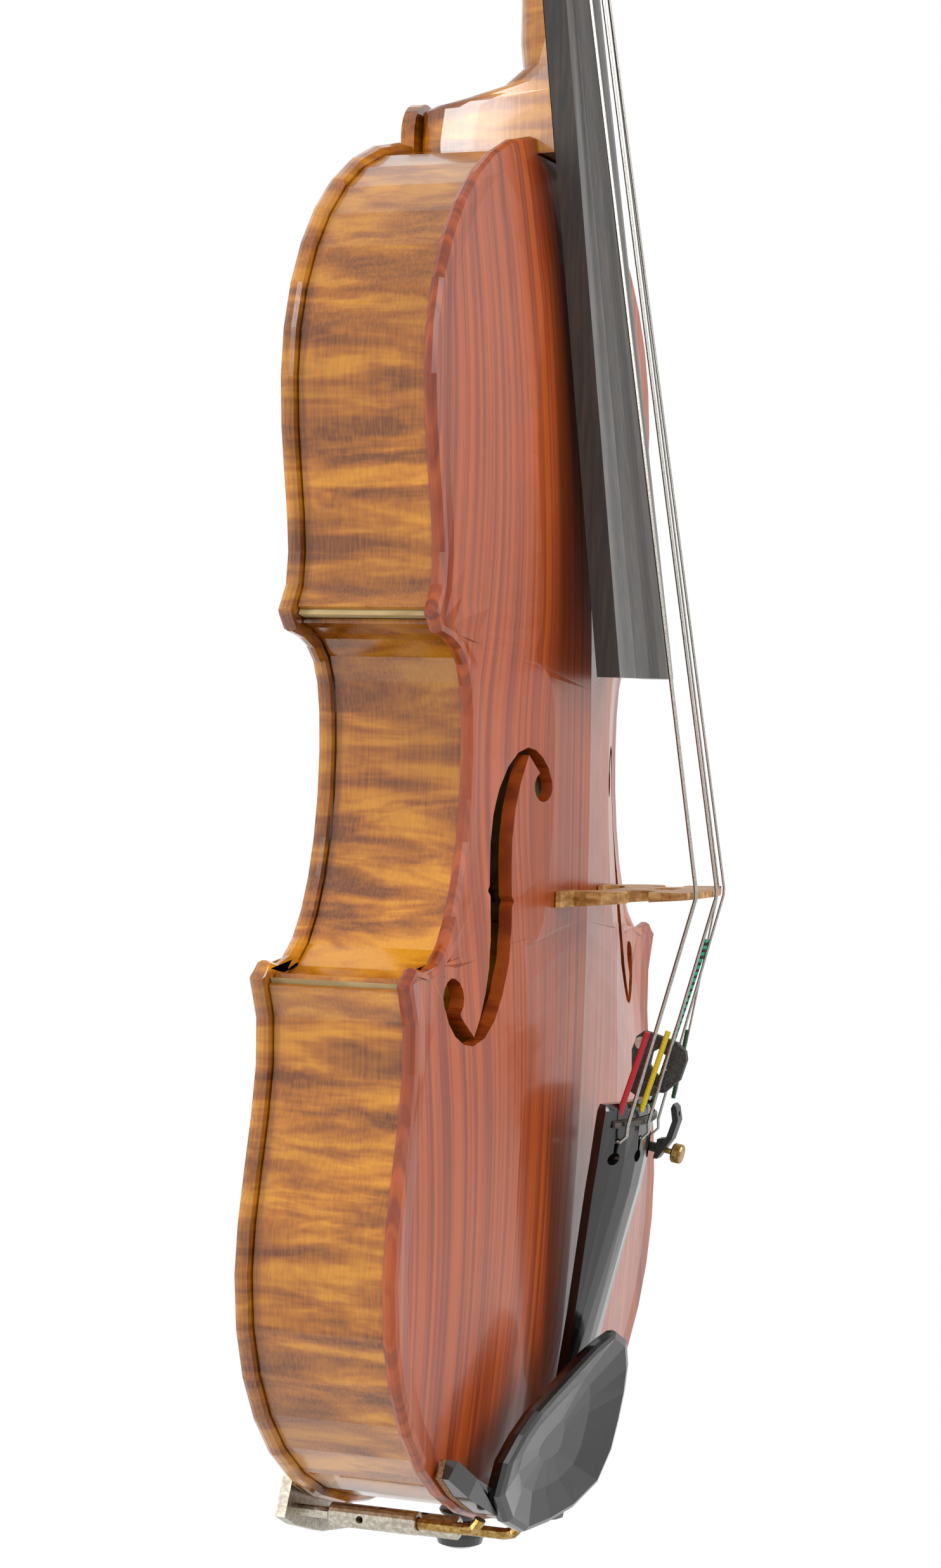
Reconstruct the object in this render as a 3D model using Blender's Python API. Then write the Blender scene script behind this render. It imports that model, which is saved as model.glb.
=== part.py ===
"""Viola, built the way it is made: arched plates on a rib frame, neck with
pegbox and scroll, fittings, strings, clip-on fittings and chinrest.

Metres. +Z runs from the end button to the scroll, the front (belly and
strings) looks along -Y, and the bass side is at -X. The origin is the point
of the neck, just under the pegbox, where a hanger's yoke holds the viola.
Inside the script a place is written (x, h, z): x across, h forwards from the
seam of back and ribs, z up from the lower end of the body.
"""
import math

import bmesh
import bpy
import numpy as np
from mathutils import Vector
from mathutils.bvhtree import BVHTree

# Place of the origin: the hanger's hold on the neck, under the nut
HANG_H = 0.0190
HANG_Z = 0.5400

# Body outline
BODY_LENGTH = 0.4060
UPPER_BOUT_WIDTH = 0.1915
UPPER_BOUT_AT = 0.3280
WAIST_WIDTH = 0.1290
WAIST_AT = 0.2250
LOWER_BOUT_WIDTH = 0.2310
LOWER_BOUT_AT = 0.0840
UPPER_CORNER_WIDTH = 0.1890
UPPER_CORNER_AT = 0.2645
LOWER_CORNER_WIDTH = 0.2180
LOWER_CORNER_AT = 0.1635
CORNER_END = 0.0076

# Plates and ribs
PLATE_EDGE = 0.0045
PLATE_THICKNESS = 0.0032
TOP_ARCH = 0.0126
BACK_ARCH = 0.0118
CHANNEL_DEPTH = 0.0006
OVERHANG = 0.0030
RIB_THICKNESS = 0.0013
RIB_HEIGHT = 0.0386
NECK_RIB_HEIGHT = 0.0366
LINING_THICKNESS = 0.0020
LINING_HEIGHT = 0.0070
BLOCK_ARM = 0.0200
END_BLOCK_WIDTH = 0.0500
END_BLOCK_DEPTH = 0.0160
BUTTON_WIDTH = 0.0210
BUTTON_HEIGHT = 0.0130
SEAT_GAP = 0.0003

# Sound holes
UPPER_EYE_X = 0.0302
UPPER_EYE_Z = 0.2158
UPPER_EYE_RADIUS = 0.0044
LOWER_EYE_X = 0.0788
LOWER_EYE_Z = 0.1585
LOWER_EYE_RADIUS = 0.0054
SLOT_WIDTH = 0.0098
NICK_DEPTH = 0.0011

# Neck, board and head
ROOT_DEPTH = 0.0060
NECK_DEPTH = 0.0105
BOARD_END = 0.2477
NUT_AT = 0.5536
BOARD_END_HEIGHT = 0.0720
NUT_EDGE_HEIGHT = 0.0360
BOARD_SIDE = 0.0070
BOARD_WIDTH = 0.0467
NUT_WIDTH = 0.0246
BOARD_CROWN = 0.0070
NUT_CROWN = 0.0019
SCROLL_RADIUS = 0.0220
SCROLL_DECAY = 0.1000
SCROLL_START_HALF = 0.0090
SCROLL_EYE_HALF = 0.0200
SCROLL_H = 0.0000
SCROLL_Z = 0.6540

# Pegs
FIRST_PEG = 0.0180
PEG_PITCH = 0.0122
PEG_HEIGHT = 0.0163
PEG_FALL = 0.0032
PEG_RADIUS = 0.0040
PEG_CLEARANCE = 0.0001
PEG_SIDES = (-1, 1, -1, 1)

# Bridge
BRIDGE_AT = 0.1830
BRIDGE_LEAN = 0.0025
BRIDGE_FOOT_WIDTH = 0.0480
BRIDGE_FOOT_HEIGHT = 0.0535
BRIDGE_FOOT_THICKNESS = 0.0048
BRIDGE_EDGE = 0.0018
BRIDGE_CROWN = 0.0961
BRIDGE_CROWN_RADIUS = 0.0410

# Tailpiece and its tuner
TAIL_THICKNESS = 0.0032
TAIL_FRET_AT = 0.1180
FRET_RISE = 0.0011
TAIL_SLOT_END = 0.1136
KEYHOLE_AT = 0.1076
KEYHOLE_RADIUS = 0.0019
GUT_X = 0.0036
GUT_H = 0.0507
GUT_RADIUS = 0.0010
SADDLE_WIDTH = 0.0340
SADDLE_DEPTH = 0.0070
ENDPIN_HEIGHT = 0.0193
ENDPIN_SHAFT = 0.0039
TUNER_HOOK_H = 0.0785
TUNER_HOOK_Z = 0.1224
MUTE_UP = 0.0038

# Strings: name, across at bridge, nut and tailpiece, radius, first turn, peg
STRINGS = (("string_c", -0.0183, -0.0086, -0.0150, 0.00060, -0.0056, 0),
           ("string_g", -0.0061, -0.0029, -0.0050, 0.00050, -0.0042, 2),
           ("string_d", 0.0061, 0.0029, 0.0050, 0.00040, 0.0034, 3),
           ("string_a", 0.0183, 0.0086, 0.0150, 0.00033, 0.0056, 1))

# Chinrest and clamp
REST_STRIP_IN = 0.0065
CORK = 0.0010
BARREL_RADIUS = 0.0034
BARREL_LOW = 0.0033
BARREL_HIGH = 0.0300
CLAMP_ROD = 0.0017
CLAMP_AT = (-0.0620, -0.0290)
CLAMP_OFF_EDGE = 0.0045

# Colours (linear RGB)
SPRUCE = (0.420, 0.075, 0.012, 1.0)
MAPLE = (0.440, 0.150, 0.022, 1.0)
PALE_WOOD = (0.520, 0.360, 0.190, 1.0)
EBONY = (0.012, 0.011, 0.011, 1.0)


def at(x, h, z):
    """A point given across, forwards from the back seam, and up the body."""
    return Vector((x, HANG_H - h, z - HANG_Z))


def material(name, colour, roughness, metallic=0.0):
    """A Principled material, made once and shared by its name."""
    found = bpy.data.materials.get(name)
    if found:
        return found
    made = bpy.data.materials.new(name)
    made.use_nodes = True
    shader = made.node_tree.nodes["Principled BSDF"]
    shader.inputs["Base Color"].default_value = colour
    shader.inputs["Roughness"].default_value = roughness
    shader.inputs["Metallic"].default_value = metallic
    made.diffuse_color = colour
    return made


def add_object(name, bm, finish, crease=35.0):
    """Turns a closed bmesh into a named object with its faces outwards."""
    bmesh.ops.remove_doubles(bm, verts=bm.verts, dist=1e-6)
    bmesh.ops.recalc_face_normals(bm, faces=bm.faces)
    mesh = bpy.data.meshes.new(name)
    bm.to_mesh(mesh)
    bm.free()
    mesh.shade_smooth()
    mesh.set_sharp_from_angle(angle=math.radians(crease))
    mesh.materials.append(finish)
    obj = bpy.data.objects.new(name, mesh)
    bpy.context.scene.collection.objects.link(obj)
    return obj


def bezier(start, pull, push, end, steps):
    """Points of a cubic curve from start up to, but without, its end."""
    points = []
    for k in range(steps):
        t = k / steps
        a, b, c, d = (1 - t) ** 3, 3 * t * (1 - t) ** 2, 3 * t * t * (1 - t), t ** 3
        points.append(tuple(a * p + b * q + c * r + d * s
                            for p, q, r, s in zip(start, pull, push, end)))
    return points


# Outline of the plates, one half, from the top of the body to its lower end,
# as (half width, height). Its three stretches meet at the corners' ends.
def corner_tips():
    """Outer and inner end of each corner's blunt end face."""
    upper = (UPPER_CORNER_WIDTH / 2, UPPER_CORNER_AT)
    lower = (LOWER_CORNER_WIDTH / 2, LOWER_CORNER_AT)
    return (upper, (upper[0] - 0.60 * CORNER_END, upper[1] - 0.80 * CORNER_END),
            lower, (lower[0] - 0.76 * CORNER_END, lower[1] + 0.65 * CORNER_END))


def bouts():
    """The three stretches of the outline, as lists of (half width, height)."""
    upper_tip, upper_lip, lower_tip, lower_lip = corner_tips()
    upper = UPPER_BOUT_WIDTH / 2
    waist = WAIST_WIDTH / 2
    lower = LOWER_BOUT_WIDTH / 2
    shoulder = BODY_LENGTH - UPPER_BOUT_AT
    drop = UPPER_BOUT_AT - UPPER_CORNER_AT
    rise = LOWER_CORNER_AT - LOWER_BOUT_AT
    top = bezier((0, BODY_LENGTH), (0.60 * upper, BODY_LENGTH),
                 (upper, UPPER_BOUT_AT + 0.53 * shoulder), (upper, UPPER_BOUT_AT), 9)
    top += bezier((upper, UPPER_BOUT_AT), (upper, UPPER_BOUT_AT - 0.44 * drop),
                  (upper_tip[0] - 0.0140, UPPER_CORNER_AT + 0.20 * drop), upper_tip, 6)
    top.append(upper_tip)
    middle = bezier(upper_lip, (upper_lip[0] - 0.0195, upper_lip[1] - 0.0025),
                    (waist, WAIST_AT + 0.0250), (waist, WAIST_AT), 6)
    middle += bezier((waist, WAIST_AT), (waist, WAIST_AT - 0.0330),
                     (lower_lip[0] - 0.0230, lower_lip[1] - 0.0095), lower_lip, 8)
    middle.append(lower_lip)
    bottom = bezier(lower_tip, (lower_tip[0] - 0.0150, LOWER_CORNER_AT - 0.25 * rise),
                    (lower, LOWER_BOUT_AT + 0.33 * rise), (lower, LOWER_BOUT_AT), 6)
    bottom += bezier((lower, LOWER_BOUT_AT), (lower, 0.44 * LOWER_BOUT_AT),
                     (0.60 * lower, 0), (0, 0), 9)
    bottom.append((0, 0))
    return top, middle, bottom


def offset(points, distance):
    """The line moved towards the inside of the body, square to its run."""
    moved = []
    for k, point in enumerate(points):
        before = points[max(k - 1, 0)]
        after = points[min(k + 1, len(points) - 1)]
        run = math.hypot(after[0] - before[0], after[1] - before[1])
        across = ((after[1] - before[1]) / run, -(after[0] - before[0]) / run)
        if abs(point[0]) < 1e-9:
            across = (0.0, math.copysign(1.0, across[1]))
        moved.append((point[0] + across[0] * distance, point[1] + across[1] * distance))
    return moved


def rib_height(z):
    """Height of the ribs, which taper from the upper corners to the neck."""
    start = UPPER_CORNER_AT
    share = max(0.0, (z - start) / (BODY_LENGTH - start))
    return RIB_HEIGHT + (NECK_RIB_HEIGHT - RIB_HEIGHT) * share


def smooth_half_widths():
    """Half width of the arched area against height, smooth past the corners."""
    top, middle, bottom = bouts()
    ends = 0.0140
    kept = [p for p in top if UPPER_CORNER_AT + 0.020 < p[1] < BODY_LENGTH - ends]
    kept += [p for p in middle if abs(p[1] - WAIST_AT) < 0.030]
    kept += [p for p in bottom if ends < p[1] < LOWER_CORNER_AT - 0.025]
    kept.sort(key=lambda p: p[1])
    heights = np.linspace(0.0, BODY_LENGTH, 204)
    widths = np.interp(heights, [p[1] for p in kept], [p[0] for p in kept])
    for _ in range(3):
        padded = np.pad(widths, 4, mode="edge")
        widths = np.convolve(padded, np.ones(9) / 9, mode="valid")
    return heights, widths - 0.0015


def plate_rise(heights, widths, arch, x, z):
    """Height of a plate's outer face over the plane of its seam."""
    end = 0.0050
    run = min(1.0, abs(2 * (z - end) / (BODY_LENGTH - 2 * end) - 1))
    along = (1 - run ** 2.6) ** 0.8
    share = min(1.0, abs(x) / np.interp(z, heights, widths))
    across = (1 - share ** 2.2) ** 1.5
    return PLATE_EDGE - CHANNEL_DEPTH * (1 - across) + arch * along * across


def plate_mesh(arch, place):
    """Arched shell with a rounded edge, hollowed inside, put down by place."""
    stretches = bouts()
    outline = [p for line in stretches for p in line]
    bead = [p for line in stretches for p in offset(line, 0.0007)]
    crest = [p for line in stretches for p in offset(line, 0.0022)]
    heights, widths = smooth_half_widths()
    middle_z = BODY_LENGTH / 2
    bm = bmesh.new()
    for side in (-1, 1):
        grid = []
        for point, near, far in zip(outline, bead, crest):
            spine_z = middle_z + 0.76 * (point[1] - middle_z)
            ring = [(point[0], 0.62 * PLATE_EDGE, point[1]),
                    (near[0], 0.90 * PLATE_EDGE, near[1]),
                    (far[0], PLATE_EDGE, far[1])]
            inside = [(point[0], 0.34 * PLATE_EDGE, point[1]),
                      (near[0], 0.08 * PLATE_EDGE, near[1]),
                      (far[0], 0.0, far[1])]
            for share in (0.06, 0.14, 0.30, 0.60, 1.0):
                x = far[0] * (1 - share)
                z = far[1] + (spine_z - far[1]) * share
                rise = plate_rise(heights, widths, arch, x, z)
                ring.append((x, rise, z))
                if share > 0.1:
                    lift = min(1.0, (rise - PLATE_EDGE) / arch)
                    floor = rise - PLATE_THICKNESS - 0.0014 * (1 - max(0.0, lift))
                    inside.append((x, max(0.0, floor), z))
            ring = ring[::-1] + inside
            grid.append([bm.verts.new(place(side * x, rise, z)) for x, rise, z in ring])
        for a, b in zip(grid, grid[1:]):
            for k in range(len(a) - 1):
                bm.faces.new((a[k], a[k + 1], b[k + 1], b[k]))
    return bm


# Simple shapes
def loft_mesh(rings):
    """Closed skin over rings of equally many points, capped at both ends."""
    bm = bmesh.new()
    made = [[bm.verts.new(p) for p in ring] for ring in rings]
    for a, b in zip(made, made[1:]):
        for k in range(len(a)):
            j = (k + 1) % len(a)
            bm.faces.new((a[k], a[j], b[j], b[k]))
    bm.faces.new(made[0][::-1])
    bm.faces.new(made[-1])
    bmesh.ops.recalc_face_normals(bm, faces=bm.faces)
    return bm


def prism_mesh(outline, low, high):
    """Solid over an outline (x, z), from one height function to another."""
    return loft_mesh([[at(x, low(x, z), z) for x, z in outline],
                      [at(x, high(x, z), z) for x, z in outline]])


def level(h):
    """A height function that is the same everywhere."""
    return lambda x, z: h


def oval(centre, first, second, a, b, sides):
    """Points of an ellipse about a centre, on two unit directions."""
    return [centre + first * (a * math.cos(2 * math.pi * k / sides))
            + second * (b * math.sin(2 * math.pi * k / sides)) for k in range(sides)]


def turned_mesh(base, axis, profile, sides):
    """Solid of revolution from (radius, distance along the axis) pairs."""
    axis = axis.normalized()
    first = axis.orthogonal().normalized()
    second = axis.cross(first)
    return loft_mesh([oval(base + axis * run, first, second, radius, radius, sides)
                      for radius, run in profile])


def rod_mesh(points, radius, sides):
    """Round rod along a run of points."""
    first = (points[1] - points[0]).orthogonal().normalized()
    rings = []
    for k, point in enumerate(points):
        before = points[max(k - 1, 0)]
        after = points[min(k + 1, len(points) - 1)]
        run = (after - before).normalized()
        first = (first - run * first.dot(run)).normalized()
        rings.append(oval(point, first, run.cross(first), radius, radius, sides))
    return loft_mesh(rings)


def boolean(obj, bm, operation, solver="EXACT"):
    """Cuts a closed mesh, in the object's own place, or joins it on."""
    name = f"tool_{obj.name}_{len(obj.modifiers)}"
    mesh = bpy.data.meshes.new(name)
    bm.to_mesh(mesh)
    bm.free()
    tool = bpy.data.objects.new(name, mesh)
    bpy.context.scene.collection.objects.link(tool)
    tool.hide_render = True
    tool.display_type = "WIRE"
    tool.location = obj.location
    step = obj.modifiers.new(operation.lower(), "BOOLEAN")
    step.operation = operation
    step.object = tool
    step.solver = solver


def add_cord(name, points, radius, finish):
    """Round cord along a run of points."""
    curve = bpy.data.curves.new(name, "CURVE")
    curve.dimensions = "3D"
    curve.bevel_depth = radius
    curve.bevel_resolution = 1
    curve.use_fill_caps = True
    spline = curve.splines.new("POLY")
    spline.points.add(len(points) - 1)
    for place, point in zip(spline.points, points):
        place.co = (*point, 1.0)
    spline.use_smooth = True
    curve.materials.append(finish)
    obj = bpy.data.objects.new(name, curve)
    bpy.context.scene.collection.objects.link(obj)
    return obj


# Flat outlines
def clip(polygon, point, normal):
    """Part of a flat outline on the side of a line that the normal points to."""
    kept = []
    for a, b in zip(polygon, polygon[1:] + polygon[:1]):
        da = (a[0] - point[0]) * normal[0] + (a[1] - point[1]) * normal[1]
        db = (b[0] - point[0]) * normal[0] + (b[1] - point[1]) * normal[1]
        if da >= 0:
            kept.append(a)
        if da * db < 0:
            t = da / (da - db)
            kept.append((a[0] + (b[0] - a[0]) * t, a[1] + (b[1] - a[1]) * t))
    return kept


def crossing(first, second):
    """Indices and place where two lines of points cross."""
    for i, (a, b) in enumerate(zip(first, first[1:])):
        for j, (c, d) in enumerate(zip(second, second[1:])):
            r = (b[0] - a[0], b[1] - a[1])
            s = (d[0] - c[0], d[1] - c[1])
            turn = r[0] * s[1] - r[1] * s[0]
            if abs(turn) < 1e-15:
                continue
            t = ((c[0] - a[0]) * s[1] - (c[1] - a[1]) * s[0]) / turn
            u = ((c[0] - a[0]) * r[1] - (c[1] - a[1]) * r[0]) / turn
            if 0 <= t <= 1 and 0 <= u <= 1:
                return i, j, (a[0] + r[0] * t, a[1] + r[1] * t)
    return None


def run_along(points, start, stop):
    """Stretch of a line between two distances along it."""
    cut = []
    gone = 0.0
    for a, b in zip(points, points[1:]):
        step = math.dist(a, b)
        for mark in (start, stop):
            if gone <= mark < gone + step:
                t = (mark - gone) / step
                cut.append((a[0] + (b[0] - a[0]) * t, a[1] + (b[1] - a[1]) * t))
        if start < gone + step < stop:
            cut.append(b)
        gone += step
    return cut


def distance_to_width(points, width):
    """Distance along a line to where it first passes a half width."""
    gone = 0.0
    for a, b in zip(points, points[1:]):
        if b[0] > width:
            return gone + math.dist(a, b) * (width - a[0]) / (b[0] - a[0])
        gone += math.dist(a, b)
    return gone


def beyond(a, b):
    """A point past the end of a line, on its last two points' run."""
    share = CORNER_END / math.dist(a, b)
    return b[0] + (b[0] - a[0]) * share, b[1] + (b[1] - a[1]) * share


def mirror(outline, side):
    return [(side * x, z) for x, z in outline]


# Neck and head
def board_side(z, upper):
    """Height of the fingerboard's top or lower side edge."""
    share = (z - BOARD_END) / (NUT_AT - BOARD_END)
    top = BOARD_END_HEIGHT + (NUT_EDGE_HEIGHT - BOARD_END_HEIGHT) * share
    return top if upper else top - BOARD_SIDE


def board_half_width(z):
    share = (z - BOARD_END) / (NUT_AT - BOARD_END)
    return (BOARD_WIDTH + (NUT_WIDTH - BOARD_WIDTH) * share) / 2


def neck_section(z, back, power, taper, extra=0.0, front=0.0):
    """Section of the neck: flat under the board, rounded at the back."""
    top = board_side(z, False) - SEAT_GAP + front
    half = board_half_width(z) - 0.0002 + extra
    depth = top - back + extra
    points = []
    for k in range(17):
        angle = math.pi * k / 16
        c = math.cos(angle)
        x = math.copysign(abs(c) ** (2 / power), c) * half
        drop = math.sin(angle) ** (2 / power)
        points.append(at(x * (1 - taper * drop), top - depth * drop, z))
    return points


def heel_rings(extra=0.0, front=0.0):
    """Sections of the neck from its root in the block to the pegbox."""
    root = BODY_LENGTH - ROOT_DEPTH - extra
    button = BODY_LENGTH + BUTTON_HEIGHT - 0.0035
    shaft = NECK_DEPTH
    rows = [(root, SEAT_GAP, 6, 0.42), (BODY_LENGTH, SEAT_GAP, 6, 0.42),
            (button, SEAT_GAP, 5, 0.42), (button + 0.0015, 0.0040, 4.5, 0.38),
            (button + 0.0030, 0.0125, 4, 0.30), (button + 0.0058, 0.0256, 3, 0.15),
            (button + 0.0105, 0.0322, 2.4, 0.05)]
    rings = [neck_section(z, back, p, t, extra, front) for z, back, p, t in rows]
    if extra:
        return rings[:3]
    for z in (button + 0.0180, 0.4460, 0.4700, 0.5050, 0.5400, 0.5485):
        back = board_side(z, False) - shaft - 0.0016 * (z < 0.440)
        rings.append(neck_section(z, back, 2.2, 0.0))
    return rings


def head_section(front, back, half):
    """Section of the pegbox between its front and back points (h, z)."""
    points = []
    for k in range(17):
        angle = math.pi * k / 16
        c = math.cos(angle)
        x = math.copysign(abs(c) ** 0.34, c) * half
        share = math.sin(angle) ** 0.34
        x *= 1 - 0.10 * share
        points.append(at(x, front[0] + (back[0] - front[0]) * share,
                         front[1] + (back[1] - front[1]) * share))
    return points


def scroll_mesh():
    """Volute of the scroll: a stepped spiral whose inner turns stand prouder."""
    steps = 20
    turns = 2.5
    count = int(steps * turns)

    def radius(k):
        return SCROLL_RADIUS * math.exp(-SCROLL_DECAY * 2 * math.pi * k / steps)

    def half(k):
        share = min(1.0, max(0.0, k) / (count - steps))
        return SCROLL_START_HALF + (SCROLL_EYE_HALF - SCROLL_START_HALF) * share ** 1.3

    def spot(k, r, x):
        angle = math.pi - 2 * math.pi * k / steps
        return at(x, SCROLL_H + r * math.cos(angle), SCROLL_Z + r * math.sin(angle))

    bm = bmesh.new()

    def face(points):
        bm.faces.new([bm.verts.new(p) for p in points])

    for side in (-1, 1):
        for k in range(count):
            outer = (spot(k, radius(k), side * half(k)),
                     spot(k + 1, radius(k + 1), side * half(k + 1)))
            if k < count - steps:
                face((outer[0], outer[1],
                      spot(k + 1, radius(k + 1 + steps), side * half(k + 1)),
                      spot(k, radius(k + steps), side * half(k))))
            else:
                points = [outer[0], outer[1], spot(0, 0.0, side * half(count))]
                if k == count - steps:
                    points.append(spot(k, radius(count), side * half(count)))
                face(points)
            if k >= steps:
                points = [outer[0], outer[1], spot(k, radius(k), side * half(k - steps))]
                if k + 1 < count:
                    points.insert(2, spot(k + 1, radius(k + 1), side * half(k + 1 - steps)))
                face(points)
    for k in range(steps):
        points = [spot(k, radius(k), -half(k)), spot(k, radius(k), half(k)),
                  spot(k + 1, radius(k + 1), half(k + 1))]
        if k == steps - 1:
            points += [spot(k + 1, radius(k + 1), half(0)),
                       spot(k + 1, radius(k + 1), -half(0))]
        points.append(spot(k + 1, radius(k + 1), -half(k + 1)))
        face(points)
    face((spot(0, radius(0), -half(0)), spot(0, radius(0), half(0)),
          spot(0, radius(steps), half(0)), spot(0, radius(steps), -half(0))))
    bmesh.ops.remove_doubles(bm, verts=bm.verts, dist=1e-6)
    bmesh.ops.recalc_face_normals(bm, faces=bm.faces)
    return bm


def peg_place(k):
    """Axis point (h, z) of a peg, counted from the nut."""
    z = NUT_AT + FIRST_PEG + PEG_PITCH * k
    return PEG_HEIGHT - PEG_FALL * k, z


def add_neck(finish):
    neck = add_object("neck_and_scroll", loft_mesh(heel_rings()), finish)
    rings = [head_section((0.0286, 0.5470), (0.0200, 0.5460), 0.0112),
             head_section((0.0283, 0.5560), (0.0105, 0.5520), 0.0125),
             head_section((0.0275, 0.5620), (0.0035, 0.5600), 0.0124),
             head_section((0.0205, 0.5880), (-0.0035, 0.5880), 0.0113),
             head_section((0.0120, 0.6160), (-0.0092, 0.6160), 0.0101),
             head_section((0.0020, 0.6300), (-0.0142, 0.6300), 0.0095),
             head_section((-0.0105, 0.6420), (-0.0198, 0.6420), 0.0090),
             head_section((-0.0130, 0.6560), (-0.0212, 0.6560), 0.0080)]
    boolean(neck, loft_mesh(rings), "UNION")
    boolean(neck, scroll_mesh(), "UNION")
    cavity = []
    for z, half, floor in ((0.5605, 0.0083, 0.0070), (0.5880, 0.0073, 0.0010),
                           (0.6160, 0.0058, -0.0045)):
        cavity.append([at(-half, 0.0400, z), at(half, 0.0400, z),
                       at(half * 0.9, floor, z), at(-half * 0.9, floor, z)])
    boolean(neck, loft_mesh(cavity), "DIFFERENCE")
    for k in range(4):
        h, z = peg_place(k)
        side = PEG_SIDES[k]
        axis = Vector((-side, 0, 0))
        bore = turned_mesh(at(side * 0.0200, h, z), axis,
                           [(peg_radius(0.0) + PEG_CLEARANCE, 0.0),
                            (peg_radius(0.0400) + PEG_CLEARANCE, 0.0400)], 20)
        boolean(neck, bore, "DIFFERENCE")
    return neck


def peg_radius(run):
    """Radius of a peg's tapered shaft, by the distance from 20 mm out."""
    return PEG_RADIUS - run / 30 / 2


def add_peg(name, k, turn, finish):
    """Peg with its head flattened, turned about its own axis."""
    h, z = peg_place(k)
    side = PEG_SIDES[k]
    out = Vector((side, 0, 0))
    up = Vector((0, math.sin(turn), math.cos(turn)))
    flat = out.cross(up)
    rows = [(-0.0125, peg_radius(0.0325), peg_radius(0.0325)),
            (0.0155, peg_radius(0.0045), peg_radius(0.0045)),
            (0.0162, 0.0056, 0.0056), (0.0185, 0.0056, 0.0056),
            (0.0195, 0.0036, 0.0036), (0.0225, 0.0046, 0.0034),
            (0.0262, 0.0092, 0.0036), (0.0310, 0.0114, 0.0033),
            (0.0360, 0.0104, 0.0030), (0.0395, 0.0062, 0.0026),
            (0.0405, 0.0022, 0.0020), (0.0425, 0.0016, 0.0016)]
    rings = [oval(out * run, up, flat, a, b, 20) for run, a, b in rows]
    peg = add_object(name, loft_mesh(rings), finish, 40)
    peg.location = at(0, h, z)
    return peg


def add_fingerboard(finish):
    rings = []
    for z, hollow in ((BOARD_END, 0.0032), (0.3000, 0.0030), (0.3550, 0.0022),
                      (0.3980, 0.0), (0.4700, 0.0), (NUT_AT, 0.0)):
        half = board_half_width(z)
        top = board_side(z, True)
        low = board_side(z, False)
        share = (z - BOARD_END) / (NUT_AT - BOARD_END)
        rise = BOARD_CROWN + (NUT_CROWN - BOARD_CROWN) * share
        ring = [at(half * t, top + rise * (1 - t * t), z)
                for t in (-1, -0.75, -0.5, -0.25, 0, 0.25, 0.5, 0.75, 1)]
        inner = half - 0.0040
        ring.append(at(half, low, z))
        ring += [at(inner * t, low + hollow * (1 - t * t), z)
                 for t in (1, 0.5, 0, -0.5, -1)]
        ring.append(at(-half, low, z))
        rings.append(ring)
    return add_object("fingerboard", loft_mesh(rings), finish, 30)


def string_points(k, bridge_top):
    """Route of a string: knot, tail slot, fret, bridge, nut and peg turns."""
    name, x_bridge, x_nut, x_tail, radius, turn_x, place = STRINGS[k]
    h_tail, rise = tail_height(x_tail, TAIL_SLOT_END - 0.0008)
    fret_h, _ = tail_height(x_tail * 1.02, TAIL_FRET_AT)
    over = fret_h + FRET_RISE + SEAT_GAP + radius
    h_bridge = bridge_top(x_bridge) + 2 * SEAT_GAP + radius
    z_bridge = BRIDGE_AT + BRIDGE_LEAN
    if name == "string_a":
        points = [at(0.0165, TUNER_HOOK_H, TUNER_HOOK_Z), at(0.0167, TUNER_HOOK_H + 0.0008, 0.1240)]
    else:
        slot = TAIL_SLOT_END - radius - SEAT_GAP
        points = [at(x_tail, h_tail - rise - 0.0030, slot),
                  at(x_tail, h_tail + 0.0006, slot),
                  at(x_tail * 1.01, h_tail + 0.0020 + radius, slot + 0.0018),
                  at(x_tail * 1.02, over, TAIL_FRET_AT - 0.0008),
                  at(x_tail * 1.03, over + 0.0004, TAIL_FRET_AT + 0.0008)]
    points += [at(x_bridge, h_bridge - 0.0002, z_bridge - 0.0010),
               at(x_bridge, h_bridge - 0.0001, z_bridge + 0.0012)]
    nut = nut_top(x_nut) + 2 * SEAT_GAP + radius
    points += [at(x_nut, nut, NUT_AT + 0.0010), at(x_nut, nut - 0.0002, NUT_AT + 0.0030)]
    h, z = peg_place(place)
    side = PEG_SIDES[place]
    drum = PEG_RADIUS + 0.0006 + radius
    start = math.radians(58)
    pitch = 2 * radius + 0.00055
    steps = 10
    for j in range(int(3.2 * steps) + 1):
        angle = start - 2 * math.pi * j / steps
        x = turn_x - side * pitch * j / steps
        points.append(at(x, h + drum * math.sin(angle), z - drum * math.cos(angle)))
    print(f"{name}: least gap between turns {(pitch - 2 * radius) * 1000:.2f} mm")
    return points, radius


def nut_top(x):
    return board_side(NUT_AT, True) + NUT_CROWN - 0.00155 * (x / 0.0086) ** 2 + 0.0002


# Fittings
def tail_profile(z):
    """Half width, edge height and crown height of the tailpiece."""
    marks = (0.0130, 0.0400, 0.0600, 0.0980, 0.1070, 0.1180, 0.1240)
    half = np.interp(z, marks, (0.0095, 0.0120, 0.0145, 0.0180, 0.0193, 0.0210, 0.0218))
    edge = np.interp(z, marks, (0.0490, 0.0532, 0.0570, 0.0630, 0.0648, 0.0668, 0.0680))
    crown = np.interp(z, marks, (0.0526, 0.0580, 0.0632, 0.0732, 0.0750, 0.0760, 0.0756))
    return float(half), float(edge), float(crown)


def tail_height(x, z):
    """Height of the tailpiece's face and its thickness at a place."""
    half, edge, crown = tail_profile(z)
    share = min(1.0, abs(x) / half)
    return edge + 0.0022 + (crown - edge - 0.0022) * (1 - share ** 2.2), TAIL_THICKNESS


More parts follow.
